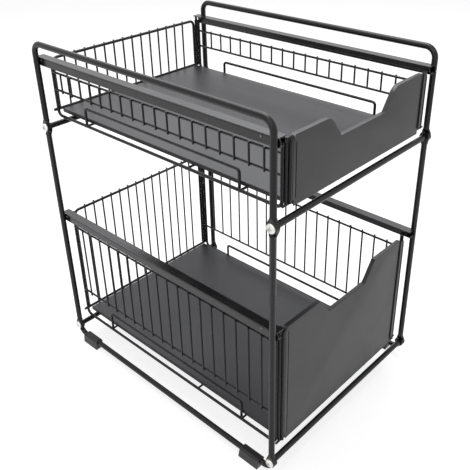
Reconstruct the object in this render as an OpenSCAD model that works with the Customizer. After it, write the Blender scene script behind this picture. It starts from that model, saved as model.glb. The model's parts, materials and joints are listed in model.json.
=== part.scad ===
// Pull-out cabinet organiser: two sliding wire baskets in an open frame of bent rod.
// Axes: +Z up, the baskets pull out towards -Y. Origin: on the floor, under the centre
// of the outer box. Millimetres.

/* [Frame] */
// Width between the centres of the left and right posts
frame_w = 315; // [290:1:340]
// Depth between the centres of the front and back posts
frame_d = 420; // [390:1:450]
// Diameter of the frame rods
frame_rod_d = 8; // [7:0.5:9]
// Centre-line radius of the two bends in an upper side frame
frame_bend_r = 14; // [10:1:20]
// Height of an upper side frame, from its joints to the centre of its top rod
upper_frame_h = 120.5; // [110:0.5:140]
// Length of the lower posts, from joint to joint
post_l = 354.5; // [300:0.5:400]
// Centre-line radius of the bends at the ends of a base rail
base_bend_r = 13.5; // [12:0.5:18]

/* [Joints] */
// Diameter of the flattened rod ends
eye_d = 14; // [11:0.5:15]
// Thickness of the flattened rod ends
eye_t = 3.4; // [2:0.1:3.7]
// Length over which a rod end flattens out
neck_l = 12; // [11:1:30]
// Shank diameter of the joint screws
screw_d = 4.1; // [3.5:0.1:4.5]
// Depth of a joint screw in the end of a cross rod
screw_grip = 11; // [8:1:20]
// Diameter of the pan heads
screw_head_d = 12; // [9:0.5:13]
// Height of the pan heads
screw_head_h = 3.2; // [2.4:0.1:4]
// Width of the arms of the cross recess
recess_w = 1.3; // [0.8:0.1:1.6]
// Depth of the cross recess
recess_depth = 1.8; // [1:0.1:2.2]

/* [Feet] */
// Length of a foot along the base rail
foot_l = 33.5; // [25:0.5:45]
// Width of a foot
foot_w = 12.5; // [11.5:0.5:16]
// Thickness of a foot under the base rail
foot_sole = 9; // [6:0.5:14]
// Thickness of a foot over the base rail
foot_cap = 1.1; // [0.8:0.1:3]
// Distance that the end faces of a foot lean forwards over its height
foot_lean = 3; // [0:0.5:6]
// Chamfer along the upper edges of a foot
foot_chamfer = 2.6; // [1:0.1:4]
// Chamfer along the upper end corners of a foot
foot_end_chamfer = 1.5; // [0.5:0.1:3]
// From the front bends of a base rail back to its front foot
front_foot_gap = 7; // [0:0.5:40]
// From the back bends of a base rail forward to its back foot
back_foot_gap = 0; // [0:0.5:40]

/* [Slides] */
// Height of a fixed rail
rail_h = 11.1; // [9:0.1:14]
// Sheet thickness of the rails
rail_t = 1.2; // [0.8:0.1:1.6]
// Width of a fixed rail's top flange
rail_top_w = 12.5; // [10:0.1:16]
// Width of a fixed rail's bottom flange
rail_bottom_w = 9; // [6:0.1:10]
// How far the rail flanges pass the centre of the front posts
rail_front = 2.5; // [0:0.5:6]
// How far the rail web passes its flanges at the front
rail_tongue = 3.1; // [1:0.1:6]
// How far the rails pass the centre of the back posts
rail_back = 7; // [6:0.5:12]
// Corner radius of the web's ends
rail_end_r = 5; // [2:0.5:5]
// Width of the rolled groove along the web
rail_groove_w = 0.8; // [0.5:0.1:1.2]
// Depth of the rolled groove along the web
rail_groove_depth = 0.3; // [0.2:0.1:0.5]
// From the top of a rail down to the groove's centre line
rail_groove_drop = 1.4; // [1.2:0.1:2]
// Width of the stop tab at the back of a rail
stop_w = 4; // [2:0.5:6]
// From the centre of the top rod down to the underside of the upper rails
upper_rail_drop = 31.3; // [28:0.1:40]
// From the bottom joints up to the underside of the lower rails
lower_rail_rise = 200; // [170:1:230]
// Clearance between a runner and the web beside it
side_gap = 0.4; // [0.3:0.1:0.8]
// Clearance between a runner and the flanges over and under it
flange_gap = 0.3; // [0.3:0.1:0.8]
// Width of a runner
runner_w = 10.3; // [9:0.1:13]
// Sheet thickness of a runner
runner_t = 1.2; // [0.8:0.1:1.6]
// How far a runner passes the front legs of its basket
runner_front = 6.5; // [4:0.5:8]
// How far a runner passes the back legs of its basket
runner_back = 3; // [0:0.5:4]
// Width of the recessed band along a runner
band_w = 2.6; // [1:0.1:4]
// Depth of the recessed band along a runner
band_depth = 0.3; // [0.1:0.1:0.5]
// Diameter of the rivet heads on the rails
rivet_d = 2.6; // [2:0.1:3.4]
// Height of the rivet heads
rivet_h = 0.8; // [0.5:0.1:1.2]
// Diameter of the rivet shanks
rivet_shank_d = 1.5; // [1:0.1:1.8]
// Height of a rivet over the underside of its rail
rivet_rise = 7.4; // [5:0.1:8]
// From the centre of the front posts back to the front rivets
front_rivet_y = 20; // [10:1:60]
// From the centre of the back posts forward to the back rivets
back_rivet_y = 6; // [5:0.5:60]

/* [Baskets] */
// Diameter of the basket rods
rod_d = 4.2; // [3.6:0.1:4.8]
// From the centre of the posts in to the side legs of a basket
leg_inset = 5; // [4:0.5:12]
// How far the upper basket rests behind the middle of the frame
upper_setback = -1.5; // [-1.5:0.5:1.5]
// How far the lower basket rests behind the middle of the frame
lower_setback = 3.5; // [0:0.5:3.5]
// Height of the basket legs over the underside of their rails
leg_rise = 6.3; // [4:0.1:7]
// Centre-line radius of the bends in a side hoop
side_bend_r = 7.5; // [5:0.5:12]
// Centre-line radius of the bends in a back hoop
back_bend_r = 8; // [5:0.5:12]
// Clearance between the upper basket and the cross rods under it
upper_floor_gap = 7.35; // [4:0.05:12]
// Clearance between the lower basket and the cross rods under it
lower_floor_gap = 6.55; // [4:0.05:12]
// How far the upper back hoop passes the tops of the side legs
upper_hoop_rise = 0.9; // [0:0.1:2]
// How far the lower back hoop passes the tops of the side legs
lower_hoop_rise = 0.7; // [0:0.1:2]
// How far the upper front panel stays below the tops of the side legs
upper_panel_drop = 0.1; // [0:0.1:4]
// How far the lower front panel stays below the tops of the side legs
lower_panel_drop = 4; // [0:0.1:10]

/* [Basket wires] */
// Depth to which welded wires of one grid melt into each other
weld = 0.2; // [0.1:0.05:0.3]
// Height of the floor wires' centres over the centres of the bottom rods
floor_wire_rise = 1; // [0.5:0.1:1.5]
// Clearance between the floor wires' front ends and the front panel
floor_wire_end_gap = 0.1; // [0.1:0.1:2]
// Diameter of the wires under the floor and up the back
floor_wire_d = 2.7; // [2:0.1:3.2]
// Number of wires under the floor
floor_wires = 14; // [10:2:14]
// Spacing of the wires under the floor
floor_pitch = 17.25; // [15:0.25:18]
// Inner bend radius of the floor wires where they turn up the back
floor_wire_bend = 4.6; // [3:0.1:8]
// Diameter of the wires across the underside and of the front sill
cross_wire_d = 3; // [2.4:0.1:3.6]
// From the middle of a basket to the outer two of the three wires across its underside
cross_pitch = 143; // [100:1:150]
// How far the third of them lies in front of the middle
cross_forward = 57; // [0:1:70]
// Diameter of the back sill
back_sill_d = 4.2; // [3:0.1:4.8]
// Height of the back sill over the bottom rods
back_sill_rise = 7.5; // [6:0.1:12]
// How far a sill passes the side hoops
sill_stub = 1.9; // [0.5:0.1:2.5]
// Diameter of the upright wires of the side grilles
grille_wire_d = 2.6; // [2:0.1:3]
// Diameter of the two long wires of a side grille
grille_long_d = 3.1; // [2:0.1:3.4]
// How far outside the legs' centres the long wires lie
grille_out = 0.5; // [0:0.1:0.8]
// Number of upright wires in a side grille
grille_bars = 18; // [10:1:18]
// Spacing of the upright wires
grille_pitch = 21.5; // [18:0.1:21.8]
// How far the upper basket's left uprights sit in front of its middle
upper_left_grille_forward = 0.5; // [-4:0.1:4]
// How far the upper basket's right uprights sit in front of its middle
upper_right_grille_forward = 3; // [-4:0.1:4]
// How far the lower basket's left uprights sit in front of its middle
lower_left_grille_forward = 0.8; // [-4:0.1:4]
// How far the lower basket's right uprights sit in front of its middle
lower_right_grille_forward = -1.9; // [-4:0.1:4]
// How far the uprights pass the long wires
grille_overrun = 0.2; // [0:0.1:3]
// From the tops of the legs down to the upper basket's top long wires
upper_grille_drop = 17.5; // [15:0.5:22]
// Height of the upper basket's bottom long wires over the bottom rods
upper_grille_rise = 38.7; // [32:0.1:42]
// From the tops of the legs down to the lower basket's top long wires
lower_grille_drop = 24; // [15:0.1:60]
// Height of the lower basket's bottom left long wire over the bottom rods
lower_left_grille_rise = 50; // [36:0.1:90]
// Height of the lower basket's bottom right long wire over the bottom rods
lower_right_grille_rise = 43.8; // [36:0.1:90]
// Diameter of the wire of the side galleries
gallery_wire_d = 3.8; // [3:0.1:4.4]
// Height of an upper side gallery over the bottom rods, to the centre of its wire
upper_gallery_h = 23.1; // [18:0.1:28]
// Height of a lower side gallery over the bottom rods, to the centre of its wire
lower_gallery_h = 26.6; // [18:0.1:28]
// Half the length of a side gallery
gallery_half_l = 142.5; // [130:0.25:150]
// How far a gallery sits behind the middle of its basket
gallery_setback = 2; // [0:0.25:5]
// Centre-line bend radius of a side gallery
gallery_bend_r = 4.5; // [3:0.5:12]

/* [Floors] */
// Sheet thickness of the floors
floor_t = 1; // [0.8:0.1:1.5]
// Height of a floor, with its turned-down edges
floor_h = 5.25; // [4:0.05:7]
// Clearance between a floor and the galleries beside it
floor_side_gap = 1.5; // [0.1:0.1:3]
// Clearance between a floor and the sills in front of it and behind it
floor_end_gap = 1.2; // [0.3:0.1:4]

/* [Front panels] */
// Sheet thickness of the front panels
panel_t = 0.9; // [0.7:0.1:1.2]
// Width of the folded strips at the sides
hem_w = 4.2; // [3:0.1:9]
// Thickness that a folded strip adds at the front
hem_t = 1.5; // [0.6:0.1:2]
// How far the folded strips end above the bottom edge
hem_rise = 8.4; // [0:0.1:12]
// Width of the groove beside a folded strip
groove_w = 3.6; // [1:0.1:5]
// Depth of the groove beside a folded strip
groove_depth = 0.5; // [0.2:0.1:0.6]
// Radius of the upper corners
panel_corner_r = 8; // [6:0.5:12]
// Depth of the turned-back edge
panel_edge = 5; // [3:0.5:6]
// Width of the upper panel's finger notch at its bottom
upper_notch_w = 89; // [60:1:100]
// Width of the lower panel's finger notch at its bottom
lower_notch_w = 82; // [60:0.5:100]
// Depth of the finger notches
notch_depth = 27.5; // [20:0.5:32]
// Slope of a notch's sides, in degrees from level
notch_slope = 54; // [50:0.5:80]
// Radius of the upper notch's shoulders
upper_shoulder_r = 17; // [2:0.5:18]
// Radius of the lower notch's shoulders
lower_shoulder_r = 3; // [2:0.5:18]
// Height of the upper panel's bottom edge over the bottom rods
upper_panel_rise = -0.8; // [-1.5:0.1:6]
// Height of the lower panel's bottom edge over the bottom rods
lower_panel_rise = 1.9; // [-1.5:0.1:6]

/* [Hidden] */

$fn = 48;
LEFT = -1;
RIGHT = 1;
FRONT = -1;
BACK = 1;
UPPER = 0;
LOWER = 1;
// How far a cutting shape passes what it cuts
cut = 1;

coat = [0.09, 0.09, 0.10];
sheet_coat = [0.16, 0.16, 0.17];
rail_coat = [0.30, 0.30, 0.31];
foot_plastic = [0.13, 0.13, 0.13];
nickel = [0.78, 0.78, 0.76];

// Heights of the frame
frame_rod_r = frame_rod_d / 2;
base_rail_z = foot_sole + frame_rod_r;
base_joint_z = base_rail_z + base_bend_r;
mid_joint_z = base_joint_z + post_l;
top_rod_z = mid_joint_z + upper_frame_h;

// Joints: of the two rod ends in a joint, one lies outside the posts' centre plane and one inside
post_x = frame_w / 2;
post_y = frame_d / 2;
eye_r = eye_d / 2;
eye_flat = eye_r + 0.75;
neck_margin = 0.3;
screw_hole_d = screw_d + 0.1;

// Rails
rail_web_x = post_x - frame_rod_r;
rail_z = [top_rod_z - upper_rail_drop, base_joint_z + lower_rail_rise];
rail_front_y = -(post_y + rail_front);
rail_back_y = post_y + rail_back;

// Plan of a basket, measured from its middle. Three rods stand side by side at each corner.
runner_x = rail_web_x - rail_t - side_gap - runner_w;
rod_r = rod_d / 2;
corner_step = ceil(100 * rod_d / sqrt(2)) / 100;
leg_x = runner_x - rod_r;
leg_y = post_y - leg_inset;
inner_leg_x = leg_x - corner_step;
inner_leg_y = leg_y + corner_step;
end_leg_x = inner_leg_x - corner_step;
end_leg_y = inner_leg_y + corner_step;
cross_wire_r = cross_wire_d / 2;
floor_wire_r = floor_wire_d / 2;
gallery_wire_r = gallery_wire_d / 2;
grille_wire_r = grille_wire_d / 2;
grille_long_r = grille_long_d / 2;
sill_face_y = leg_y + rod_r;
gallery_x = leg_x - rod_r - gallery_wire_r;
floor_x = gallery_x - gallery_wire_r - floor_side_gap;
floor_y = sill_face_y - floor_end_gap;
back_wire_y = end_leg_y + rod_r + floor_wire_r;
panel_x = end_leg_x - rod_r;
panel_y = sill_face_y + cross_wire_d;
panel_front_y = panel_y + panel_t + hem_t;
floor_wire_front_y = panel_y - floor_wire_end_gap;

// Heights over the centres of a basket's bottom rods
floor_wire_top = floor_wire_rise + floor_wire_r;
cross_wire_z = floor_wire_rise - floor_wire_r - cross_wire_r + weld;
front_sill_z = floor_wire_top + cross_wire_r;
floor_wire_bend_r = floor_wire_bend + floor_wire_r;
floor_wire_turn_z = floor_wire_rise + floor_wire_bend_r;

// Heights and middles of the two baskets, as [upper, lower]
centre_y = [upper_setback, lower_setback];
leg_top = [rail_z[UPPER] + leg_rise, rail_z[LOWER] + leg_rise];
rod_z = [
    mid_joint_z + frame_rod_r + upper_floor_gap + cross_wire_r - cross_wire_z,
    base_joint_z + frame_rod_r + lower_floor_gap + cross_wire_r - cross_wire_z
];
hoop_top = [leg_top[UPPER] + upper_hoop_rise, leg_top[LOWER] + lower_hoop_rise];
panel_top = [leg_top[UPPER] - upper_panel_drop, leg_top[LOWER] - lower_panel_drop];
panel_bottom = [rod_z[UPPER] + upper_panel_rise, rod_z[LOWER] + lower_panel_rise];
grille_top = [leg_top[UPPER] - upper_grille_drop, leg_top[LOWER] - lower_grille_drop];
gallery_h = [upper_gallery_h, lower_gallery_h];
notch_w = [upper_notch_w, lower_notch_w];
shoulder_r = [upper_shoulder_r, lower_shoulder_r];

// Height over the bottom rods and place of the side grilles, as [left, right] for each basket
grille_rise = [[upper_grille_rise, upper_grille_rise], [lower_left_grille_rise, lower_right_grille_rise]];
grille_forward = [
    [upper_left_grille_forward, upper_right_grille_forward],
    [lower_left_grille_forward, lower_right_grille_forward]
];

// The outer box is centred on the origin
front_reach = max(post_y + eye_r, rail_tongue - rail_front_y, panel_front_y - min(centre_y));
back_reach = max(post_y + eye_r, rail_back_y, lower_setback + back_wire_y + floor_wire_r);
origin_y = (back_reach - front_reach) / 2;

// ---- Placing ----

module placed() {
    translate([0, -origin_y, 0]) children();
}

module on_side(side) {
    if (side == LEFT) mirror([1, 0, 0]) children();
    else children();
}

module at_end(end) {
    if (end == FRONT) mirror([0, 1, 0]) children();
    else children();
}

// Moves a piece from a basket's own frame, whose floor is at the bottom rods' centres
module in_basket(tier) {
    placed() translate([0, centre_y[tier], rod_z[tier]]) children();
}

// ---- Stock shapes ----

// Round bar along X from its origin
module bar_x(d, l) {
    rotate([0, 90, 0]) cylinder(d = d, h = l);
}

// Round bar along Y, centred
module bar_y(d, l) {
    rotate([90, 0, 0]) cylinder(d = d, h = l, center = true);
}

// Drawn in the YZ plane and extruded along X from its origin
module extrude_x(l) {
    rotate([90, 0, 90]) linear_extrude(l) children();
}

// Drawn in the XZ plane and extruded along Y, centred
module extrude_y(l) {
    translate([0, l / 2, 0]) rotate([90, 0, 0]) linear_extrude(l) children();
}

// Quarter bend in the YZ plane, from straight below its centre to straight behind it
module bend(d, r) {
    rotate([90, 0, 90]) rotate([0, 0, -90])
        rotate_extrude(angle = 90) translate([r, 0]) rotate(90) circle(d = d);
}

// Rod bent to a U in the YZ plane, open at the top, with the bottom run's centre at its origin
module hoop(d, half_l, h, bend_r) {
    bar_y(d, 2 * (half_l - bend_r));
    for (end = [FRONT, BACK]) at_end(end) {
        translate([0, half_l - bend_r, bend_r]) bend(d, bend_r);
        translate([0, half_l, bend_r]) cylinder(d = d, h = h - bend_r);
    }
}

// Rectangle with rounded corners, from its lower left corner
module rounded_strip(l, h, corner_r) {
    r = min(corner_r, h / 2 - 0.05);
    translate([r, 0]) square([l - 2 * r, h]);
    translate([0, r]) square([l, h - 2 * r]);
    for (u = [r, l - r], v = [r, h - r]) translate([u, v]) circle(r = r);
}

// ---- Frame ----

// End of an upright rod, flattened into an eye on the outer side of its centre plane
module flat_end() {
    difference() {
        union() {
            bar_x(eye_d, eye_t);
            intersection() {
                cylinder(d1 = 1.25 * eye_d, d2 = frame_rod_d, h = neck_l);
                translate([-eye_d, 0, 0]) extrude_x(2 * eye_d) polygon([
                    [-eye_r, 0], [eye_r, 0],
                    [frame_rod_r + neck_margin, neck_l], [-frame_rod_r - neck_margin, neck_l]
                ]);
                extrude_y(2 * eye_d) polygon([
                    [0, 0], [eye_t, 0], [eye_t, eye_flat], [frame_rod_r + neck_margin, neck_l],
                    [-frame_rod_r - neck_margin, neck_l], [0, eye_flat]
                ]);
            }
        }
        translate([-cut, 0, 0]) bar_x(screw_hole_d, eye_t + 2 * cut);
    }
}

// Inverted U that carries the upper rail. Its eyes lie outside.
module upper_side_frame(side) {
    color(coat) placed() on_side(side) translate([post_x, 0, 0]) {
        translate([0, 0, top_rod_z]) mirror([0, 0, 1])
            hoop(frame_rod_d, post_y, upper_frame_h - neck_l, frame_bend_r);
        for (end = [FRONT, BACK]) at_end(end) translate([0, post_y, mid_joint_z]) flat_end();
    }
}

// Straight post with an outer eye at the bottom and an inner eye at the top
module lower_post(side, end) {
    color(coat) placed() on_side(side) at_end(end) translate([post_x, post_y, 0]) {
        translate([0, 0, base_joint_z]) flat_end();
        translate([0, 0, base_joint_z + neck_l]) cylinder(d = frame_rod_d, h = post_l - 2 * neck_l);
        translate([0, 0, mid_joint_z]) mirror([0, 0, 1]) mirror([1, 0, 0]) flat_end();
    }
}

// Rail along the floor. Its ends turn up and are flattened into inner eyes.
module base_rail(side) {
    wide = frame_rod_r + neck_margin;
    round_top_z = frame_rod_r - base_bend_r - 1.5;
    below_z = -base_bend_r - frame_rod_r - cut;
    color(coat) placed() on_side(side) translate([post_x, 0, base_joint_z]) difference() {
        intersection() {
            union() {
                translate([0, 0, -base_bend_r]) bar_y(frame_rod_d, 2 * (post_y - base_bend_r));
                for (end = [FRONT, BACK]) at_end(end) {
                    translate([0, post_y - base_bend_r, 0]) bend(frame_rod_d, base_bend_r);
                    translate([-wide, post_y, 0]) bar_x(eye_d, 2 * wide);
                }
            }
            extrude_y(2 * (post_y + eye_d)) polygon([
                [-eye_t, eye_d], [-eye_t, -eye_flat], [-wide, round_top_z], [-wide, below_z],
                [wide, below_z], [wide, round_top_z], [0, -eye_flat], [0, eye_d]
            ]);
        }
        for (end = [FRONT, BACK])
            translate([-eye_t - cut, end * post_y, 0]) bar_x(screw_hole_d, eye_t + 2 * cut);
    }
}

// Rod across the front or back, drilled at both ends for the joint screws
module cross_rod(end, joint_z) {
    half_l = post_x - eye_t;
    color(coat) placed() at_end(end) translate([0, post_y, joint_z]) difference() {
        translate([-half_l, 0, 0]) bar_x(frame_rod_d, 2 * half_l);
        for (side = [LEFT, RIGHT]) on_side(side)
            translate([half_l - screw_grip - cut, 0, 0]) bar_x(screw_hole_d, screw_grip + 2 * cut);
    }
}

// Pan head screw through both eyes of a joint into the cross rod. The underside of its head
// is at the outer eye.
module joint_screw(side, end, joint_z) {
    head_r = screw_head_d / 2;
    rim_h = screw_head_h / 4;
    shank_l = 2 * eye_t + screw_grip;
    color(nickel) placed() on_side(side) at_end(end) translate([post_x + eye_t, post_y, joint_z])
        rotate([0, 90, 0]) difference() {
            rotate_extrude() polygon(concat(
                [[0, -shank_l], [screw_d / 2, -shank_l], [screw_d / 2, 0], [head_r, 0]],
                [for (a = [0 : 15 : 75]) [head_r * cos(a), rim_h + (screw_head_h - rim_h) * sin(a)]],
                [[0, screw_head_h]]
            ));
            for (turn = [0, 90]) rotate([0, 0, turn])
                translate([-head_r / 2, -recess_w / 2, screw_head_h - recess_depth])
                    cube([head_r, recess_w, recess_depth + cut]);
        }
}

// Block that wraps the base rail and stands on the floor
module foot(side, end) {
    top = base_rail_z + frame_rod_r + foot_cap;
    half_w = foot_w / 2;
    lean_at_corner = foot_lean * (top - foot_end_chamfer) / top;
    run_y = post_y - base_bend_r;
    start_y = end == FRONT ? -run_y + front_foot_gap : run_y - back_foot_gap - foot_l;
    color(foot_plastic) placed() on_side(side) translate([post_x, start_y, 0]) difference() {
        intersection() {
            translate([-half_w, 0, 0]) extrude_x(foot_w) polygon([
                [0, 0], [foot_l, 0], [foot_l - lean_at_corner, top - foot_end_chamfer],
                [foot_l - foot_lean - foot_end_chamfer, top], [foot_end_chamfer - foot_lean, top],
                [-lean_at_corner, top - foot_end_chamfer]
            ]);
            extrude_y(4 * foot_l) polygon([
                [-half_w, 0], [half_w, 0], [half_w, top - foot_chamfer], [half_w - foot_chamfer, top],
                [foot_chamfer - half_w, top], [-half_w, top - foot_chamfer]
            ]);
        }
        translate([0, 0, base_rail_z]) bar_y(frame_rod_d + 0.1, 4 * foot_l);
    }
}

// ---- Slides ----

// Places a child at each rivet of a rail, on the outer face of its web
module at_rivets(tier) {
    for (y = [front_rivet_y - post_y, post_y - back_rivet_y])
        translate([rail_web_x, y, rail_z[tier] + rivet_rise]) children();
}

// Channel fixed to the posts, open towards the basket
module rail(tier, side) {
    l = rail_back_y - rail_front_y;
    web_l = l + rail_tongue;
    color(rail_coat) placed() on_side(side) difference() {
        translate([rail_web_x, rail_front_y, rail_z[tier]]) {
            translate([-rail_t, -rail_tongue, 0]) extrude_x(rail_t) rounded_strip(web_l, rail_h, rail_end_r);
            translate([-rail_top_w, 0, rail_h - rail_t]) cube([rail_top_w, l, rail_t]);
            translate([-rail_bottom_w, 0, 0]) cube([rail_bottom_w, l, rail_t]);
            translate([-rail_bottom_w, l - rail_t, 0]) cube([stop_w, rail_t, rail_h]);
        }
        translate([rail_web_x - rail_groove_depth, rail_front_y, rail_z[tier] + rail_h - rail_groove_drop])
            translate([0, 0, -rail_groove_w / 2]) cube([rail_groove_depth + cut, l - cut, rail_groove_w]);
        at_rivets(tier) translate([-rail_t - cut, 0, 0]) bar_x(rivet_shank_d + 0.1, rail_t + 2 * cut);
    }
}

// Rivets through the webs of all four rails
module rail_rivets() {
    color(nickel) placed() for (side = [LEFT, RIGHT], tier = [UPPER, LOWER]) on_side(side)
        at_rivets(tier) {
            bar_x(rivet_d, rivet_h);
            translate([-rail_t, 0, 0]) bar_x(rivet_shank_d, rail_t + rivet_h / 2);
        }
}

// Channel that slides in a rail and carries the side of a basket. Its front end is half round.
module runner(tier, side) {
    l = 2 * leg_y + runner_front + runner_back;
    h = rail_h - 2 * (rail_t + flange_gap);
    z = rail_z[tier] + rail_t + flange_gap;
    color(rail_coat) placed() on_side(side) translate([runner_x, centre_y[tier] - leg_y - runner_front, z])
        difference() {
            intersection() {
                cube([runner_w, l, h]);
                translate([-cut, 0, 0]) extrude_x(runner_w + 2 * cut) rounded_strip(2 * l, h, h / 2);
            }
            translate([runner_t, -cut, runner_t]) cube([runner_w, l + 2 * cut, h - 2 * runner_t]);
            translate([-cut, -cut, (h - band_w) / 2]) cube([band_depth + cut, l + 2 * cut, band_w]);
        }
}

// ---- Baskets ----

// U that forms the bottom rod and the outer legs of one side, welded to the runner
module side_hoop(tier, side) {
    color(coat) in_basket(tier) on_side(side) translate([leg_x, 0, 0])
        hoop(rod_d, leg_y, leg_top[tier] - rod_z[tier], side_bend_r);
}

// Two long wires between the legs with uprights welded to their outside
module side_grille(tier, side) {
    side_index = side == LEFT ? 0 : 1;
    low = grille_rise[tier][side_index];
    high = grille_top[tier] - rod_z[tier];
    past = grille_long_r + grille_overrun;
    first_y = -grille_forward[tier][side_index] - (grille_bars - 1) / 2 * grille_pitch;
    color(coat) in_basket(tier) on_side(side) translate([leg_x + grille_out, 0, 0]) {
        difference() {
            for (z = [low, high]) translate([0, 0, z]) bar_y(grille_long_d, 2 * leg_y);
            for (end = [FRONT, BACK]) translate([-grille_out, end * leg_y, 0])
                cylinder(d = rod_d, h = high + rod_d);
        }
        for (i = [0 : grille_bars - 1])
            translate([grille_long_r + grille_wire_r - weld, first_y + i * grille_pitch, low - past])
                cylinder(d = grille_wire_d, h = high - low + 2 * past);
    }
}

// Low wire guard along one side of the floor
module gallery(tier, side) {
    h = gallery_h[tier];
    color(coat) in_basket(tier) on_side(side) translate([gallery_x, gallery_setback, h])
        mirror([0, 0, 1]) hoop(gallery_wire_d, gallery_half_l, h, gallery_bend_r);
}

// Inverted U across the back, standing on the back sill
module back_hoop(tier) {
    top = hoop_top[tier] - rod_z[tier] - rod_r;
    color(coat) in_basket(tier) translate([0, end_leg_y, top]) mirror([0, 0, 1]) rotate([0, 0, 90])
        hoop(rod_d, end_leg_x, top - back_sill_rise - back_sill_d / 2, back_bend_r);
}

// Wire of diameter d across one end, with the two inner corner rods that stand on it
module sill(tier, end, z, d) {
    half_l = leg_x + rod_r + sill_stub;
    color(coat) in_basket(tier) at_end(end) {
        translate([-half_l, sill_face_y + d / 2, z]) bar_x(d, 2 * half_l);
        for (side = [LEFT, RIGHT]) on_side(side) translate([inner_leg_x, inner_leg_y, z])
            cylinder(d = rod_d, h = leg_top[tier] - rod_z[tier] - z);
    }
}

// Sill wire at the back
module back_sill(tier) {
    sill(tier, BACK, back_sill_rise, back_sill_d);
}

// Sill wire at the front, with the rods beside the front panel, bent in over its upper corners
module front_sill(tier) {
    low = front_sill_z + cross_wire_r;
    high = panel_top[tier] - rod_z[tier] - panel_corner_r;
    sill(tier, FRONT, front_sill_z, cross_wire_d);
    color(coat) in_basket(tier) for (side = [LEFT, RIGHT]) on_side(side) translate([0, -end_leg_y, 0]) {
        translate([end_leg_x, 0, low]) cylinder(d = rod_d, h = high - low);
        translate([panel_x - panel_corner_r, 0, high]) rotate([90, 0, 0]) rotate_extrude(angle = 50)
            translate([panel_corner_r + rod_r, 0]) circle(d = rod_d);
    }
}

// Places a child at each floor wire
module at_floor_wires() {
    for (i = [0 : floor_wires - 1]) translate([(i - (floor_wires - 1) / 2) * floor_pitch, 0, 0]) children();
}

// Wires under the floor, up to where they have turned upright, and three wires across under them
module wire_grid(tier) {
    run_l = floor_wire_front_y + back_wire_y - floor_wire_bend_r;
    color(coat) in_basket(tier) {
        at_floor_wires() {
            translate([0, run_l / 2 - floor_wire_front_y, floor_wire_rise]) bar_y(floor_wire_d, run_l);
            translate([0, back_wire_y - floor_wire_bend_r, floor_wire_turn_z])
                bend(floor_wire_d, floor_wire_bend_r);
        }
        difference() {
            for (y = [-cross_pitch, -cross_forward, cross_pitch]) translate([-leg_x, y, cross_wire_z])
                bar_x(cross_wire_d, 2 * leg_x);
            for (side = [LEFT, RIGHT]) translate([side * leg_x, 0, 0]) bar_y(rod_d, 2 * leg_y);
        }
    }
}

// The same wires from their bends up the back, welded to the back hoop
module back_wires(tier) {
    color(coat) in_basket(tier) at_floor_wires() translate([0, back_wire_y, floor_wire_turn_z])
        cylinder(d = floor_wire_d, h = hoop_top[tier] - rod_z[tier] - floor_wire_turn_z);
}

// Tray that lies on the floor wires, with its edges turned down
module basket_floor(tier) {
    color(sheet_coat) in_basket(tier) translate([0, 0, floor_wire_top]) difference() {
        translate([-floor_x, -floor_y, 0]) cube([2 * floor_x, 2 * floor_y, floor_h]);
        translate([floor_t - floor_x, floor_t - floor_y, -cut])
            cube([2 * (floor_x - floor_t), 2 * (floor_y - floor_t), floor_h - floor_t + cut]);
    }
}

function arc(x, z, r, from, to) = [
    for (i = [0 : 12]) let (a = from + (to - from) * i / 12) [x + r * cos(a), z + r * sin(a)]
];

// Upper edge of a front panel with its finger notch, from right to left, moved in by inset
function panel_edge_line(tier, top, inset) =
    let (
        corner_x = panel_x - panel_corner_r,
        r = shoulder_r[tier],
        shoulder_x = notch_w[tier] / 2 + notch_depth / tan(notch_slope) + r * tan(notch_slope / 2),
        notch_x = notch_w[tier] / 2 + inset * tan(notch_slope / 2),
        notch_z = top - notch_depth - inset
    )
    concat(
        arc(corner_x, top - panel_corner_r, panel_corner_r - inset, 0, 90),
        arc(shoulder_x, top - r, r - inset, 90, 90 + notch_slope),
        [[notch_x, notch_z], [-notch_x, notch_z]],
        arc(-shoulder_x, top - r, r - inset, 90 - notch_slope, 90),
        arc(-corner_x, top - panel_corner_r, panel_corner_r - inset, 90, 180)
    );

// Outline of a front panel, or of what lies inside its upper edge. Below its folded strips the
// panel is narrower.
module panel_outline(tier, inset, past) {
    top = panel_top[tier] - rod_z[tier];
    bottom = panel_bottom[tier] - rod_z[tier] - past;
    strip_x = panel_x + past;
    face_x = panel_x - hem_w + past;
    corner_z = top - panel_corner_r;
    strip_z = bottom + hem_rise;
    polygon(concat(
        [[-strip_x, corner_z], [-strip_x, strip_z], [-face_x, strip_z], [-face_x, bottom]],
        [[face_x, bottom], [face_x, strip_z], [strip_x, strip_z], [strip_x, corner_z]],
        panel_edge_line(tier, top, inset)
    ));
}

// Sheet front with a finger notch, folded strips at the sides and its upper edge turned back
module front_panel(tier) {
    strip_z = panel_bottom[tier] - rod_z[tier] + hem_rise;
    strip_h = panel_top[tier] - rod_z[tier] - strip_z;
    groove_x = panel_x - hem_w - groove_w;
    color(sheet_coat) in_basket(tier) difference() {
        union() {
            translate([0, -panel_y - panel_t / 2, 0]) extrude_y(panel_t) panel_outline(tier, 0, 0);
            translate([0, -panel_y + panel_edge / 2, 0]) difference() {
                extrude_y(panel_edge) panel_outline(tier, 0, 0);
                extrude_y(panel_edge + cut) panel_outline(tier, panel_t, cut);
            }
            intersection() {
                translate([0, -panel_y - panel_t - hem_t / 2, 0]) extrude_y(hem_t) panel_outline(tier, 0, 0);
                for (side = [LEFT, RIGHT]) on_side(side)
                    translate([panel_x - hem_w, -panel_front_y - cut, strip_z])
                        cube([hem_w + cut, hem_t + 2 * cut, strip_h + cut]);
            }
        }
        for (side = [LEFT, RIGHT]) on_side(side)
            translate([groove_x, -panel_y - panel_t - cut, strip_z + panel_t])
                cube([groove_w, groove_depth + cut, strip_h - panel_t - panel_corner_r]);
    }
}

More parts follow.
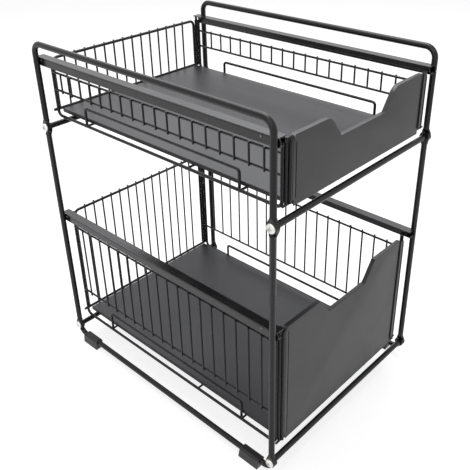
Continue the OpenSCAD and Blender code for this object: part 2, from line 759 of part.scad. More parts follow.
upper_side_frame(LEFT);  // upper_side_frame_left
upper_side_frame(RIGHT);  // upper_side_frame_right
lower_post(LEFT, FRONT);  // lower_post_front_left
lower_post(RIGHT, FRONT);  // lower_post_front_right
lower_post(LEFT, BACK);  // lower_post_back_left
lower_post(RIGHT, BACK);  // lower_post_back_right
base_rail(LEFT);  // base_rail_left
base_rail(RIGHT);  // base_rail_right
cross_rod(FRONT, mid_joint_z);  // mid_cross_rod_front
cross_rod(BACK, mid_joint_z);  // mid_cross_rod_back
cross_rod(FRONT, base_joint_z);  // base_cross_rod_front
cross_rod(BACK, base_joint_z);  // base_cross_rod_back
joint_screw(LEFT, FRONT, mid_joint_z);  // mid_screw_front_left
joint_screw(RIGHT, FRONT, mid_joint_z);  // mid_screw_front_right
joint_screw(LEFT, BACK, mid_joint_z);  // mid_screw_back_left
joint_screw(RIGHT, BACK, mid_joint_z);  // mid_screw_back_right
joint_screw(LEFT, FRONT, base_joint_z);  // base_screw_front_left
joint_screw(RIGHT, FRONT, base_joint_z);  // base_screw_front_right
joint_screw(LEFT, BACK, base_joint_z);  // base_screw_back_left
joint_screw(RIGHT, BACK, base_joint_z);  // base_screw_back_right
foot(LEFT, FRONT);  // foot_front_left
foot(RIGHT, FRONT);  // foot_front_right
foot(LEFT, BACK);  // foot_back_left
foot(RIGHT, BACK);  // foot_back_right
rail(UPPER, LEFT);  // upper_rail_left
rail(UPPER, RIGHT);  // upper_rail_right
rail(LOWER, LEFT);  // lower_rail_left
rail(LOWER, RIGHT);  // lower_rail_right
rail_rivets();
runner(UPPER, LEFT);  // upper_runner_left
runner(UPPER, RIGHT);  // upper_runner_right
side_hoop(UPPER, LEFT);  // upper_side_hoop_left
side_hoop(UPPER, RIGHT);  // upper_side_hoop_right
side_grille(UPPER, LEFT);  // upper_side_grille_left
side_grille(UPPER, RIGHT);  // upper_side_grille_right
gallery(UPPER, LEFT);  // upper_gallery_left
gallery(UPPER, RIGHT);  // upper_gallery_right
back_hoop(UPPER);  // upper_back_hoop
back_sill(UPPER);  // upper_back_sill
back_wires(UPPER);  // upper_back_wires
front_sill(UPPER);  // upper_front_sill
wire_grid(UPPER);  // upper_wire_grid
basket_floor(UPPER);  // upper_floor
front_panel(UPPER);  // upper_front_panel
runner(LOWER, LEFT);  // lower_runner_left
runner(LOWER, RIGHT);  // lower_runner_right
side_hoop(LOWER, LEFT);  // lower_side_hoop_left
side_hoop(LOWER, RIGHT);  // lower_side_hoop_right
side_grille(LOWER, LEFT);  // lower_side_grille_left
side_grille(LOWER, RIGHT);  // lower_side_grille_right
gallery(LOWER, LEFT);  // lower_gallery_left
gallery(LOWER, RIGHT);  // lower_gallery_right
back_hoop(LOWER);  // lower_back_hoop
back_sill(LOWER);  // lower_back_sill
back_wires(LOWER);  // lower_back_wires
front_sill(LOWER);  // lower_front_sill
wire_grid(LOWER);  // lower_wire_grid
basket_floor(LOWER);  // lower_floor
front_panel(LOWER);  // lower_front_panel
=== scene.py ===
"""Pull-out cabinet organiser: a frame of bent black rod with a shallow basket over a deep one.

Metres, +Z up, the baskets pull out towards -Y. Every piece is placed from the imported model.
"""
import json
import math

import bmesh
import bpy
from mathutils import Matrix, Vector


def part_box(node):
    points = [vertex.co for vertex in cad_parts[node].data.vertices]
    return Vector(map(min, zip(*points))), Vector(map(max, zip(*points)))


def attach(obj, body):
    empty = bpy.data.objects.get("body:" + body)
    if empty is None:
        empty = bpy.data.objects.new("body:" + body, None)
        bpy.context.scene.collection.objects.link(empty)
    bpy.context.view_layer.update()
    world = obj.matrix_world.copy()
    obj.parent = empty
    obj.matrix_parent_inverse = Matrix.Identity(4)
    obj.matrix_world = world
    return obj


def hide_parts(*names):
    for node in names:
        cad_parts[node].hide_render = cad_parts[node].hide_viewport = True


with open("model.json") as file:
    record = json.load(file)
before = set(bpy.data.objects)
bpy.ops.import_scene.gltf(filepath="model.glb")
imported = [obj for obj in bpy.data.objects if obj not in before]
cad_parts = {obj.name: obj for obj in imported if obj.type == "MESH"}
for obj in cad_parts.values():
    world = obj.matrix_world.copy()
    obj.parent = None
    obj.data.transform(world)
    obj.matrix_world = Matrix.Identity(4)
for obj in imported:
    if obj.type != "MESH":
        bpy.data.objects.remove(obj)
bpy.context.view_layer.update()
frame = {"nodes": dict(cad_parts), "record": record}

# ---- Camera ----------------------------------------------------------------------------------
# A tripod camera at the left of the front, above the organiser and tilted down at it. Its lens
# is shifted a little, which frames the organiser without turning the camera.
MM = 0.001
camera_place = Vector((-613.5, -596.525, 741.5)) * MM
turn, tilt, roll = (math.radians(a) for a in (-46.804, 28.772, -1.05))
back = Vector((math.sin(turn) * math.cos(tilt), -math.cos(turn) * math.cos(tilt), math.sin(tilt)))
level = Vector((math.cos(turn), math.sin(turn), 0))
raised = back.cross(level)
right = level * math.cos(roll) + raised * math.sin(roll)
up = raised * math.cos(roll) - level * math.sin(roll)
lens = bpy.data.cameras.new("camera")
lens.sensor_width = 36
lens.lens = 51.16
lens.shift_x = -0.01643
lens.shift_y = -0.07394
lens.clip_start = 0.01
camera = bpy.data.objects.new("camera", lens)
facing = Matrix((right, up, back)).transposed().to_4x4()
camera.matrix_world = Matrix.Translation(camera_place) @ facing
bpy.context.scene.collection.objects.link(camera)
bpy.context.scene.camera = camera
bpy.context.scene.view_settings.view_transform = "Standard"

# ---- Side frames, posts and base rails -------------------------------------------------------
# Steel rod of 8 mm, bent cold. Each end is pressed flat and punched, so that two ends lie
# together in a joint. Everything is powder coated satin black before it is put together.
SIDES = ("left", "right")
ENDS = ("front", "back")
MERGE_DISTANCE = 0.002 * MM
FLAT_WITHIN = math.radians(0.3)
MIX_A, MIX_B, MIX_RESULT = 6, 7, 2


class Signal:
    """A shader socket that takes part in arithmetic."""

    def __init__(self, finish, socket):
        self.finish = finish
        self.socket = socket

    def _math(self, operation, first, second):
        return self.finish.node("ShaderNodeMath", {0: first, 1: second}, operation=operation)

    def __add__(self, other):
        return self._math("ADD", self, other)

    def __mul__(self, other):
        return self._math("MULTIPLY", self, other)

    __radd__ = __add__
    __rmul__ = __mul__


class Finish:
    """A material with one Principled shader, built up node by node."""

    def __init__(self, name, **fixed):
        self.material = bpy.data.materials.new(name)
        self.material.use_nodes = True
        self.tree = self.material.node_tree
        self.shader = self.tree.nodes["Principled BSDF"]
        for name, value in fixed.items():
            self.shader.inputs[name.replace("_", " ")].default_value = value
        self.place = self.node("ShaderNodeTexCoord", output="Object")

    def node(self, kind, inputs=None, output=0, **settings):
        """A new node with its settings, and the values or links of its sockets."""
        made = self.tree.nodes.new(kind)
        for name, value in settings.items():
            setattr(made, name, value)
        for name, value in (inputs or {}).items():
            self.feed(made.inputs[name], value)
        return Signal(self, made.outputs[output])

    def feed(self, socket, value):
        if isinstance(value, Signal):
            self.tree.links.new(value.socket, socket)
        else:
            socket.default_value = value

    def noise(self, scale, detail=2, roughness=0.5, stretch=(1, 1, 1)):
        place = self.node("ShaderNodeMapping", {"Vector": self.place, "Scale": stretch})
        return self.node(
            "ShaderNodeTexNoise",
            {"Vector": place, "Scale": scale, "Detail": detail, "Roughness": roughness},
        )

    def between(self, signal, low, high):
        """The signal's range from low to high, spread over 0 to 1."""
        ranged = {"Value": signal, "From Min": low, "From Max": high}
        return self.node("ShaderNodeMapRange", ranged)

    def colour(self, amount, first, second):
        """The first colour where the amount is 0, and the second where it is 1."""
        mixed = {"Factor": amount, MIX_A: (*first, 1), MIX_B: (*second, 1)}
        return self.node("ShaderNodeMix", mixed, output=MIX_RESULT, data_type="RGBA")

    def finish_with(self, colour, roughness=None, bump=None, depth=0.0):
        """The finished material, with its bump that deep."""
        self.feed(self.shader.inputs["Base Color"], colour)
        if roughness:
            self.feed(self.shader.inputs["Roughness"], roughness)
        if bump:
            shaped = {"Height": bump, "Strength": 1.0, "Distance": depth}
            self.feed(self.shader.inputs["Normal"], self.node("ShaderNodeBump", shaped))
        return self.material


def powder_coat(name, dark, light, roughness, peel_depth):
    """Satin powder coat: orange peel, cloudy gloss and a little dust."""
    coat = Finish(name, IOR=1.38)
    cloud = coat.noise(14, detail=4)
    peel_height = coat.noise(620, detail=1)
    grit = coat.noise(2600, detail=1)
    dust = coat.between(coat.noise(1500, detail=3, roughness=0.7), 0.62, 0.78)
    tone = coat.colour(coat.between(cloud, 0.3, 0.7) * 0.8 + dust * 0.5, dark, light)
    rough = coat.between(cloud, 0.25, 0.75) * 0.12 + roughness + dust * 0.2
    return coat.finish_with(tone, rough, peel_height + grit * 0.25, peel_depth)


frame_coat = powder_coat(
    "frame_powder_coat",
    dark=(0.0085, 0.0085, 0.009),
    light=(0.016, 0.016, 0.017),
    roughness=0.2,
    peel_depth=0.00004,
)


def body_of(node):
    """The moving body that carries a node."""
    for body, nodes in frame["record"]["behaviour"]["bodies"].items():
        if node in nodes:
            return body


def keep(piece, *nodes):
    """Puts a finished piece in the place of the model's nodes."""
    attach(piece, body_of(nodes[0]))
    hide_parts(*nodes)


def mesh_piece(name, mesh, material):
    """A new object of one mesh and one material."""
    piece = bpy.data.objects.new(name, mesh)
    bpy.context.scene.collection.objects.link(piece)
    mesh.materials.clear()
    mesh.materials.append(material)
    return piece


def smooth(mesh, angle=35):
    """Shades a mesh smooth, but for edges sharper than the angle in degrees."""
    mesh.shade_smooth()
    mesh.set_sharp_from_angle(angle=math.radians(angle))


def merged_solid(node):
    """A copy of a node's mesh with its loose triangles joined and its flats made whole."""
    mesh = frame["nodes"][node].data.copy()
    work = bmesh.new()
    work.from_mesh(mesh)
    bmesh.ops.remove_doubles(work, verts=work.verts, dist=MERGE_DISTANCE)
    flat = {"use_dissolve_boundaries": False, "verts": work.verts, "edges": work.edges}
    bmesh.ops.dissolve_limit(work, angle_limit=FLAT_WITHIN, **flat)
    work.to_mesh(mesh)
    work.free()
    for layer in list(mesh.attributes):
        if layer.name == "custom_normal":
            mesh.attributes.remove(layer)
    return mesh


def pressed_piece(node, material, edge=0.0, angle=35):
    """A node's solid with its edges rounded as tools and coating leave them."""
    piece = mesh_piece(node + "_dressed", merged_solid(node), material)
    if edge:
        bevel = piece.modifiers.new("rounded edges", "BEVEL")
        bevel.width = edge
        bevel.segments = 2
        bevel.limit_method = "ANGLE"
        bevel.angle_limit = math.radians(angle)
    smooth(piece.data, angle)
    keep(piece, node)


for side in SIDES:
    pressed_piece(f"upper_side_frame_{side}", frame_coat)
    pressed_piece(f"base_rail_{side}", frame_coat)
    for end in ENDS:
        pressed_piece(f"lower_post_{end}_{side}", frame_coat)

# ---- Cross rods ------------------------------------------------------------------------------
# Four straight lengths of the same rod, sawn square, drilled and tapped in both ends for the
# joint screws. They hold the two sides apart at the middle and at the base.
ROD = 8 * MM
ROD_FACETS = 32
JOINT_LEVELS = ("mid", "base")


def rod_tree():
    """Round bar of a given diameter along the edges of a mesh."""
    tree = bpy.data.node_groups.new("Rod along a path", "GeometryNodeTree")
    sockets = tree.interface
    sockets.new_socket("Path", in_out="INPUT", socket_type="NodeSocketGeometry")
    sockets.new_socket("Diameter", in_out="INPUT", socket_type="NodeSocketFloat")
    sockets.new_socket("Facets", in_out="INPUT", socket_type="NodeSocketInt")
    sockets.new_socket("Coating", in_out="INPUT", socket_type="NodeSocketMaterial")
    sockets.new_socket("Rod", in_out="OUTPUT", socket_type="NodeSocketGeometry")
    given = tree.nodes.new("NodeGroupInput")
    path = tree.nodes.new("GeometryNodeMeshToCurve")
    half = tree.nodes.new("ShaderNodeMath")
    half.operation = "MULTIPLY"
    half.inputs[1].default_value = 0.5
    ring = tree.nodes.new("GeometryNodeCurvePrimitiveCircle")
    sweep = tree.nodes.new("GeometryNodeCurveToMesh")
    sweep.inputs["Fill Caps"].default_value = True
    whole = tree.nodes.new("GeometryNodeRealizeInstances")
    coated = tree.nodes.new("GeometryNodeSetMaterial")
    result = tree.nodes.new("NodeGroupOutput")
    for start, end in (
        (given.outputs["Path"], path.inputs["Mesh"]),
        (given.outputs["Diameter"], half.inputs[0]),
        (given.outputs["Facets"], ring.inputs["Resolution"]),
        (half.outputs[0], ring.inputs["Radius"]),
        (path.outputs["Curve"], sweep.inputs["Curve"]),
        (ring.outputs["Curve"], sweep.inputs["Profile Curve"]),
        (sweep.outputs["Mesh"], whole.inputs["Geometry"]),
        (whole.outputs["Geometry"], coated.inputs["Geometry"]),
        (given.outputs["Coating"], coated.inputs["Material"]),
        (coated.outputs["Geometry"], result.inputs["Rod"]),
    ):
        tree.links.new(start, end)
    return tree


def grown(piece, tree, **values):
    """Gives a piece the mesh that a node tree makes of it, as a plain mesh."""
    grower = piece.modifiers.new(tree.name, "NODES")
    grower.node_group = tree
    for item in tree.interface.items_tree:
        if item.in_out == "INPUT" and item.name in values:
            grower[item.identifier] = values[item.name]
    shown = bpy.context.evaluated_depsgraph_get()
    mesh = bpy.data.meshes.new_from_object(piece.evaluated_get(shown))
    piece.modifiers.remove(grower)
    piece.data = mesh


rod_along_path = rod_tree()


def bent_rods(name, paths, diameter, coating, nodes, facets=16):
    """Round rods along lists of points, as one piece."""
    points = [point for path in paths for point in path]
    edges = []
    start = 0
    for path in paths:
        edges += [(i, i + 1) for i in range(start, start + len(path) - 1)]
        start += len(path)
    mesh = bpy.data.meshes.new(name)
    mesh.from_pydata(points, edges, [])
    piece = mesh_piece(name, mesh, coating)
    grown(piece, rod_along_path, Diameter=diameter, Facets=facets, Coating=coating)
    smooth(piece.data, angle=50)
    keep(piece, *nodes)


for level_name in JOINT_LEVELS:
    for end in ENDS:
        node = f"{level_name}_cross_rod_{end}"
        low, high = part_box(node)
        y, z = (low.y + high.y) / 2, (low.z + high.z) / 2
        bar = [Vector((low.x, y, z)), Vector((high.x, y, z))]
        bent_rods(node + "_dressed", [bar], ROD, frame_coat, [node], ROD_FACETS)

# ---- Joint screws ----------------------------------------------------------------------------
# Nickel-plated pan heads with a cross recess, driven through both flattened ends of a joint
# into the end of a cross rod.
SCREW_EDGE = 0.18 * MM
nickel = Finish("nickel_plate", Metallic=1.0)
nickel_cloud = nickel.noise(160, detail=3)
nickel_turned = nickel.noise(5200, detail=1)
nickel_plate = nickel.finish_with(
    nickel.colour(nickel.between(nickel_cloud, 0.3, 0.7), (0.70, 0.69, 0.66), (0.86, 0.85, 0.82)),
    nickel.between(nickel_cloud, 0.3, 0.7) * 0.12 + 0.42,
    nickel_turned,
    0.000012,
)
for level_name in JOINT_LEVELS:
    for end in ENDS:
        for side in SIDES:
            pressed_piece(f"{level_name}_screw_{end}_{side}", nickel_plate, SCREW_EDGE, 40)

# ---- Feet ------------------------------------------------------------------------------------
# Four blocks of matte black plastic. They are moulded, clip round the base rails near their
# ends, and stand on the floor.
FOOT_EDGE = 0.7 * MM
moulded = Finish("moulded_plastic", IOR=1.46)
spark = moulded.noise(1900, detail=2, roughness=0.6)
scuff = moulded.between(moulded.noise(240, detail=5, roughness=0.7), 0.56, 0.74)
foot_plastic = moulded.finish_with(
    moulded.colour(scuff, (0.020, 0.020, 0.020), (0.034, 0.034, 0.034)),
    0.5 + scuff * 0.2,
    spark,
    0.00005,
)
for end in ENDS:
    for side in SIDES:
        pressed_piece(f"foot_{end}_{side}", foot_plastic, FOOT_EDGE)

# ---- Slide rails and runners -----------------------------------------------------------------
# Roll-formed channels of 1.2 mm steel. The rails are welded inside the posts; the runners slide
# in them on balls and carry the baskets. Small dull zinc rivets hold the ball stops.
TIERS = ("upper", "lower")
SLIDE_EDGE = 0.3 * MM
RIVET_EDGE = 0.2 * MM
formed = Finish("slide_coat", IOR=1.5)
drawn = formed.noise(900, detail=2, stretch=(1, 0.02, 1))
lines = formed.between(formed.noise(330, detail=1, stretch=(1, 0.004, 0.3)), 0.42, 0.62)
formed_cloud = formed.noise(20, detail=4)
slide_coat = formed.finish_with(
    formed.colour(
        formed.between(formed_cloud, 0.3, 0.7), (0.013, 0.013, 0.014), (0.024, 0.024, 0.025)
    ),
    formed.between(formed_cloud, 0.3, 0.7) * 0.06 + lines * 0.08 + 0.16,
    drawn,
    0.00001,
)
for tier in TIERS:
    for side in SIDES:
        pressed_piece(f"{tier}_rail_{side}", slide_coat, SLIDE_EDGE)
        pressed_piece(f"{tier}_runner_{side}", slide_coat, SLIDE_EDGE)
dull = Finish("rivet_zinc", Metallic=1.0)
dull_cloud = dull.noise(420, detail=3)
rivet_zinc = dull.finish_with(
    dull.colour(dull.between(dull_cloud, 0.3, 0.7), (0.16, 0.155, 0.14), (0.30, 0.29, 0.27)),
    dull.between(dull_cloud, 0.3, 0.7) * 0.2 + 0.4,
    dull_cloud,
    0.00002,
)
pressed_piece("rail_rivets", rivet_zinc, RIVET_EDGE)

# ---- Basket rods -----------------------------------------------------------------------------
# Rods of 4.2 mm, bent and spot welded side by side at the corners: a side hoop with its legs on
# the runner, inner corner rods on the sill wires, a back hoop, and two rods beside the front.
# The low gallery that stands on each hoop is bent from 3.8 mm wire.
BASKET_ROD = 4.2 * MM
GALLERY_WIRE = 3.8 * MM
SIDE_HOOP_BEND = 7.5 * MM
BACK_HOOP_BEND = 8 * MM
GALLERY_BEND = 4.5 * MM
HOOP_FACETS = 20
basket_coat = powder_coat(
    "basket_powder_coat",
    dark=(0.0085, 0.0085, 0.009),
    light=(0.015, 0.015, 0.016),
    roughness=0.2,
    peel_depth=0.00003,
)


def rounded(corners, radius, steps=8):
    """A path through corner points with its inner corners bent to a radius."""
    path = [corners[0]]
    for before, corner, after in zip(corners, corners[1:], corners[2:]):
        back_way = (before - corner).normalized()
        on_way = (after - corner).normalized()
        half_angle = back_way.angle(on_way) / 2
        centre = corner + (back_way + on_way).normalized() * (radius / math.sin(half_angle))
        start = corner + back_way * (radius / math.tan(half_angle)) - centre
        finish = corner + on_way * (radius / math.tan(half_angle)) - centre
        sweep = start.angle(finish)
        for i in range(steps + 1):
            begun, ended = math.sin(sweep * (1 - i / steps)), math.sin(sweep * i / steps)
            path.append(centre + (start * begun + finish * ended) / math.sin(sweep))
    path.append(corners[-1])
    return path


for tier in TIERS:
    for side in SIDES:
        node = f"{tier}_side_hoop_{side}"
        low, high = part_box(node)
        r = BASKET_ROD / 2
        x = (low.x + high.x) / 2
        y0, y1, z0 = low.y + r, high.y - r, low.z + r
        hoop = [Vector(p) for p in ((x, y0, high.z), (x, y0, z0), (x, y1, z0), (x, y1, high.z))]
        path = rounded(hoop, SIDE_HOOP_BEND)
        bent_rods(node + "_dressed", [path], BASKET_ROD, basket_coat, [node], HOOP_FACETS)

        node = f"{tier}_gallery_{side}"
        low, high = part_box(node)
        r = GALLERY_WIRE / 2
        x = (low.x + high.x) / 2
        y0, y1, z1 = low.y + r, high.y - r, high.z - r
        loop = [Vector(p) for p in ((x, y0, low.z), (x, y0, z1), (x, y1, z1), (x, y1, low.z))]
        path = rounded(loop, GALLERY_BEND)
        bent_rods(node + "_dressed", [path], GALLERY_WIRE, basket_coat, [node])

    node = f"{tier}_back_hoop"
    low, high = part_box(node)
    r = BASKET_ROD / 2
    y, z1 = (low.y + high.y) / 2, high.z - r
    x0, x1 = low.x + r, high.x - r
    hoop = [Vector(p) for p in ((x0, y, low.z), (x0, y, z1), (x1, y, z1), (x1, y, low.z))]
    path = rounded(hoop, BACK_HOOP_BEND)
    bent_rods(node + "_dressed", [path], BASKET_ROD, basket_coat, [node], HOOP_FACETS)

    for node in (f"{tier}_back_sill", f"{tier}_front_sill"):
        pressed_piece(node, basket_coat)

# ---- Floor wires and side grilles ------------------------------------------------------------
# Fourteen 2.7 mm wires run under the floor and turn up the back; three 3 mm wires cross under
# them. Each side has two 3.1 mm long wires with eighteen 2.6 mm uprights, resistance welded.
FLOOR_WIRE = 2.7 * MM
FLOOR_WIRES = 14
FLOOR_PITCH = 17.25 * MM
FLOOR_BEND = 5.95 * MM
BEND_STEPS = 6
CROSS_WIRE = 3 * MM
CROSS_PLACES = (-143 * MM, -57 * MM, 143 * MM)
UPRIGHT = 2.6 * MM
LONG_WIRE = 3.1 * MM
OVERRUN = 0.2 * MM
GRILLE_BARS = 18
GRILLE_PITCH = 21.5 * MM
GRILLE_FORWARD = {
    "upper_left": 0.5 * MM,
    "upper_right": 3 * MM,
    "lower_left": 0.8 * MM,
    "lower_right": -1.9 * MM,
}
WIRE_FACETS = 12
LONG_WIRE_FACETS = 14
WELD_OVERLAP = 0.2 * MM
FLOOR_WELD, FLOOR_WELD_SEED = 1.3 * MM, 1
GRILLE_WELD, GRILLE_WELD_SEED = 1.25 * MM, 2
LEAST_BEAD, LARGEST_BEAD = 0.85, 1.15


def weld_tree():
    """A flattened bead of weld at every point, each a little different."""
    tree = bpy.data.node_groups.new("Weld at each point", "GeometryNodeTree")
    sockets = tree.interface
    sockets.new_socket("Crossings", in_out="INPUT", socket_type="NodeSocketGeometry")
    sockets.new_socket("Bead radius", in_out="INPUT", socket_type="NodeSocketFloat")
    sockets.new_socket("Seed", in_out="INPUT", socket_type="NodeSocketInt")
    sockets.new_socket("Coating", in_out="INPUT", socket_type="NodeSocketMaterial")
    sockets.new_socket("Beads", in_out="OUTPUT", socket_type="NodeSocketGeometry")
    given = tree.nodes.new("NodeGroupInput")
    bead = tree.nodes.new("GeometryNodeMeshIcoSphere")
    bead.inputs["Subdivisions"].default_value = 2
    size = tree.nodes.new("FunctionNodeRandomValue")
    size.data_type = "FLOAT"
    size.inputs["Min"].default_value = LEAST_BEAD
    size.inputs["Max"].default_value = LARGEST_BEAD
    placed = tree.nodes.new("GeometryNodeInstanceOnPoints")
    whole = tree.nodes.new("GeometryNodeRealizeInstances")
    coated = tree.nodes.new("GeometryNodeSetMaterial")
    result = tree.nodes.new("NodeGroupOutput")
    size_out = next(s for s in size.outputs if s.enabled and s.type == "VALUE")
    for start, end in (
        (given.outputs["Bead radius"], bead.inputs["Radius"]),
        (given.outputs["Seed"], size.inputs["Seed"]),
        (given.outputs["Crossings"], placed.inputs["Points"]),
        (bead.outputs["Mesh"], placed.inputs["Instance"]),
        (size_out, placed.inputs["Scale"]),
        (placed.outputs["Instances"], whole.inputs["Geometry"]),
        (whole.outputs["Geometry"], coated.inputs["Geometry"]),
        (given.outputs["Coating"], coated.inputs["Material"]),
        (coated.outputs["Geometry"], result.inputs["Beads"]),
    ):
        tree.links.new(start, end)
    return tree


weld_beads = weld_tree()


def welds(name, crossings, radius, node, seed):
    """Beads of weld at the crossings of wires, which ride on a node's body."""
    mesh = bpy.data.meshes.new(name)
    mesh.from_pydata(crossings, [], [])
    piece = mesh_piece(name, mesh, basket_coat)
    values = {"Bead radius": radius, "Seed": seed, "Coating": basket_coat}
    grown(piece, weld_beads, **values)
    piece.data.shade_smooth()
    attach(piece, body_of(node))


for tier in TIERS:
    grid, uprights = f"{tier}_wire_grid", f"{tier}_back_wires"
    low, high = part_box(grid)
    top_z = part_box(uprights)[1].z
    cross_z = low.z + CROSS_WIRE / 2
    run_z = cross_z + CROSS_WIRE / 2 + FLOOR_WIRE / 2 - WELD_OVERLAP
    back_y = high.y - FLOOR_WIRE / 2
    middle_y = sum(corner.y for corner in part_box(f"{tier}_floor")) / 2
    wire_x = [(i - (FLOOR_WIRES - 1) / 2) * FLOOR_PITCH for i in range(FLOOR_WIRES)]
    cross_y = [middle_y + place for place in CROSS_PLACES]
    runs = []
    for x in wire_x:
        bends = [Vector(p) for p in ((x, low.y, run_z), (x, back_y, run_z), (x, back_y, top_z))]
        runs.append(rounded(bends, FLOOR_BEND, BEND_STEPS))
    covered = [grid, uprights]
    bent_rods(f"{tier}_floor_wires", runs, FLOOR_WIRE, basket_coat, covered, WIRE_FACETS)
    crossers = [[Vector((low.x, y, cross_z)), Vector((high.x, y, cross_z))] for y in cross_y]
    bent_rods(f"{tier}_cross_wires", crossers, CROSS_WIRE, basket_coat, [grid], WIRE_FACETS)
    crossings = [(x, y, (cross_z + run_z) / 2) for x in wire_x for y in cross_y]
    welds(f"{tier}_floor_welds", crossings, FLOOR_WELD, grid, FLOOR_WELD_SEED)

    for side in SIDES:
        node = f"{tier}_side_grille_{side}"
        low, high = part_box(node)
        out = 1 if side == "right" else -1
        r = UPRIGHT / 2
        upright_x = (high.x - r) if out > 0 else (low.x + r)
        long_x = upright_x - out * (r + LONG_WIRE / 2 - WELD_OVERLAP)
        grille_y = middle_y - GRILLE_FORWARD[f"{tier}_{side}"]
        first_y = grille_y - (GRILLE_BARS - 1) / 2 * GRILLE_PITCH
        bars_y = [first_y + i * GRILLE_PITCH for i in range(GRILLE_BARS)]
        past = LONG_WIRE / 2 + OVERRUN
        long_z = (low.z + past, high.z - past)
        bars = [[Vector((upright_x, y, low.z)), Vector((upright_x, y, high.z))] for y in bars_y]
        longs = [[Vector((long_x, low.y, z)), Vector((long_x, high.y, z))] for z in long_z]
        bent_rods(f"{node}_uprights", bars, UPRIGHT, basket_coat, [node], WIRE_FACETS)
        name = f"{node}_long_wires"
        bent_rods(name, longs, LONG_WIRE, basket_coat, [node], LONG_WIRE_FACETS)
        mid_x = (upright_x + long_x) / 2
        crossings = [(mid_x, y, z) for y in bars_y for z in long_z]
        welds(f"{node}_welds", crossings, GRILLE_WELD, node, GRILLE_WELD_SEED)

# ---- Floors ----------------------------------------------------------------------------------
# A tray of 1 mm sheet lies on the floor wires with its edges folded down. It has a satin charcoal
# coat, less glossy than that of the wires, with faint marks of handling.
TRAY_EDGE = 0.9 * MM
sheet = Finish("sheet_powder_coat", IOR=1.5)
sheet_cloud = sheet.noise(7, detail=5)
wipe = sheet.between(sheet.noise(30, detail=4, stretch=(1, 0.25, 1)), 0.45, 0.75)
sheet_peel = sheet.noise(800, detail=1)
sheet_coat = sheet.finish_with(
    sheet.colour(
        sheet.between(sheet_cloud, 0.3, 0.7), (0.020, 0.020, 0.022), (0.030, 0.030, 0.033)
    ),
    sheet.between(sheet_cloud, 0.3, 0.7) * 0.08 + wipe * 0.05 + 0.36,
    sheet_peel,
    0.00002,
)
for tier in TIERS:
    pressed_piece(f"{tier}_floor", sheet_coat, TRAY_EDGE)

# ---- Front panels ----------------------------------------------------------------------------
# Sheet of 0.9 mm with a finger notch. The upper edge is folded back over the notch, the sides
# are rolled to narrow beads that are welded to the front rods.
BEAD_ROUND = 1.3 * MM
FOLD_ROUND = 0.75 * MM
BEAD_DEPTH = 1.5 * MM
SAME_PLANE = 0.01 * MM
FACING, EDGE_ON = 0.9, 0.1


def rounded_front(mesh, bead, fold):
    """Rounds the front edges of the side beads, and the fold along the upper edge."""
    work = bmesh.new()
    work.from_mesh(mesh)
    bead_y = min(vert.co.y for vert in work.verts)
    for plane_y, width in ((bead_y, bead), (bead_y + BEAD_DEPTH, fold)):
        edges = []
        for edge in work.edges:
            flat = all(abs(vert.co.y - plane_y) < SAME_PLANE for vert in edge.verts)
            faces = edge.link_faces
            faced = len(faces) == 2 and any(face.normal.y < -FACING for face in faces)
            turned = faced and any(abs(face.normal.y) < EDGE_ON for face in faces)
            upward = any(face.normal.z > EDGE_ON for face in faces)
            if flat and turned and (width == bead or upward):
                edges.append(edge)
        rounding = {"segments": 4, "profile": 0.5, "affect": "EDGES", "clamp_overlap": True}
        bmesh.ops.bevel(work, geom=edges, offset=width, **rounding)
    work.to_mesh(mesh)
    work.free()


for tier in TIERS:
    node = f"{tier}_front_panel"
    panel = mesh_piece(node + "_dressed", merged_solid(node), sheet_coat)
    rounded_front(panel.data, BEAD_ROUND, FOLD_ROUND)
    smooth(panel.data, angle=30)
    keep(panel, node)

# ---- Studio ----------------------------------------------------------------------------------
# A white floor, a large soft light overhead, one behind at the right and two smaller ones at the
# left. Past a table's width the floor throws back little diffuse light, but the camera, gloss
# and glass see it white all over.
ALSO_SHOWN = ("Is Glossy Ray", "Is Transmission Ray")
TABLE_EDGE, FLOOR_EDGE = 0.5, 0.9
TABLE_COLOUR = (0.86, 0.85, 0.92)
FAR_COLOUR = (0.15, 0.085, 0.055)
SEEN_COLOUR = (0.4, 0.4, 0.4)
SEEN_SHINE = 0.83
HALF_FLOOR = 6.0
WORLD_LIGHT = 0.06
WHITE = (1, 1, 1)
floor = Finish("studio_white", Roughness=0.9)
seen = floor.node("ShaderNodeLightPath", output="Is Camera Ray")
for kind in ALSO_SHOWN:
    also = floor.node("ShaderNodeLightPath", output=kind)
    seen = floor.node("ShaderNodeMath", {0: seen, 1: also}, operation="MAXIMUM")
reach = floor.node("ShaderNodeVectorMath", {0: floor.place}, output="Value", operation="LENGTH")
near = floor.between(reach, FLOOR_EDGE, TABLE_EDGE)
around = floor.colour(near, FAR_COLOUR, TABLE_COLOUR)
whole_floor = {"Factor": seen, MIX_A: around, MIX_B: (*SEEN_COLOUR, 1)}
floor.finish_with(floor.node("ShaderNodeMix", whole_floor, output=MIX_RESULT, data_type="RGBA"))
shine = {"Color": (*WHITE, 1), "Strength": seen * SEEN_SHINE}
glow = floor.node("ShaderNodeEmission", shine)
both = floor.tree.nodes.new("ShaderNodeAddShader")
floor.tree.links.new(floor.shader.outputs[0], both.inputs[0])
floor.tree.links.new(glow.socket, both.inputs[1])
floor.tree.links.new(both.outputs[0], floor.tree.nodes["Material Output"].inputs["Surface"])
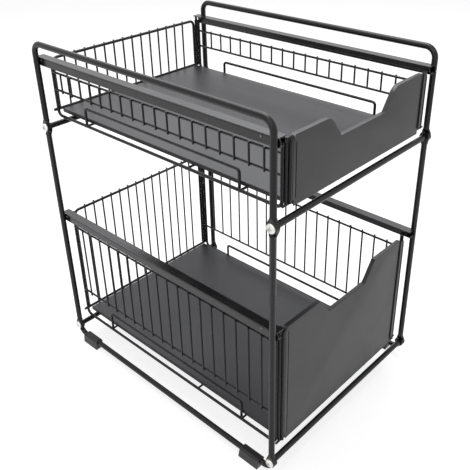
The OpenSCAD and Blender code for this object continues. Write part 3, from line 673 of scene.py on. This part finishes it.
ground = bpy.data.meshes.new("studio_floor")
around_centre = ((-1, -1), (1, -1), (1, 1), (-1, 1))
corners = [(x * HALF_FLOOR, y * HALF_FLOOR, 0) for x, y in around_centre]
ground.from_pydata(corners, [], [(0, 1, 2, 3)])
mesh_piece("studio_floor", ground, floor.material)


def soft_light(name, place, aim, size, power, colour=WHITE):
    """A rectangular lamp at a place, turned towards the point it is aimed at."""
    lamp = bpy.data.lights.new(name, "AREA")
    lamp.shape = "RECTANGLE"
    lamp.size, lamp.size_y = size
    lamp.energy = power
    lamp.color = colour
    holder = bpy.data.objects.new(name, lamp)
    holder.location = place
    holder.rotation_mode = "QUATERNION"
    holder.rotation_quaternion = (Vector(aim) - Vector(place)).to_track_quat("-Z", "Y")
    bpy.context.scene.collection.objects.link(holder)


soft_light("overhead", (0.1, 0.3, 2.4), (0, 0, 0.2), (1.6, 1.6), 42)
soft_light("back", (1.15, 1.07, 2.05), (0, 0, 1.3), (2.4, 1.5), 20, (0.93, 0.94, 1.0))
soft_light("small", (-0.9, -1.5, 2.1), (0, 0, 0.3), (0.35, 0.35), 4)
soft_light("left", (-2.2, -0.6, 1.5), (0, 0, 0.25), (1.0, 1.4), 8)

world = bpy.data.worlds.new("studio")
world.use_nodes = True
bpy.context.scene.world = world
paths = world.node_tree.nodes.new("ShaderNodeLightPath")
shown = paths.outputs["Is Camera Ray"]
for kind in ALSO_SHOWN:
    either = world.node_tree.nodes.new("ShaderNodeMath")
    either.operation = "MAXIMUM"
    world.node_tree.links.new(shown, either.inputs[0])
    world.node_tree.links.new(paths.outputs[kind], either.inputs[1])
    shown = either.outputs[0]
strength = world.node_tree.nodes.new("ShaderNodeMapRange")
strength.inputs["To Min"].default_value = WORLD_LIGHT
strength.inputs["To Max"].default_value = 1.0
world.node_tree.links.new(shown, strength.inputs["Value"])
sky = world.node_tree.nodes["Background"]
sky.inputs["Color"].default_value = (*WHITE, 1)
world.node_tree.links.new(strength.outputs["Result"], sky.inputs["Strength"])
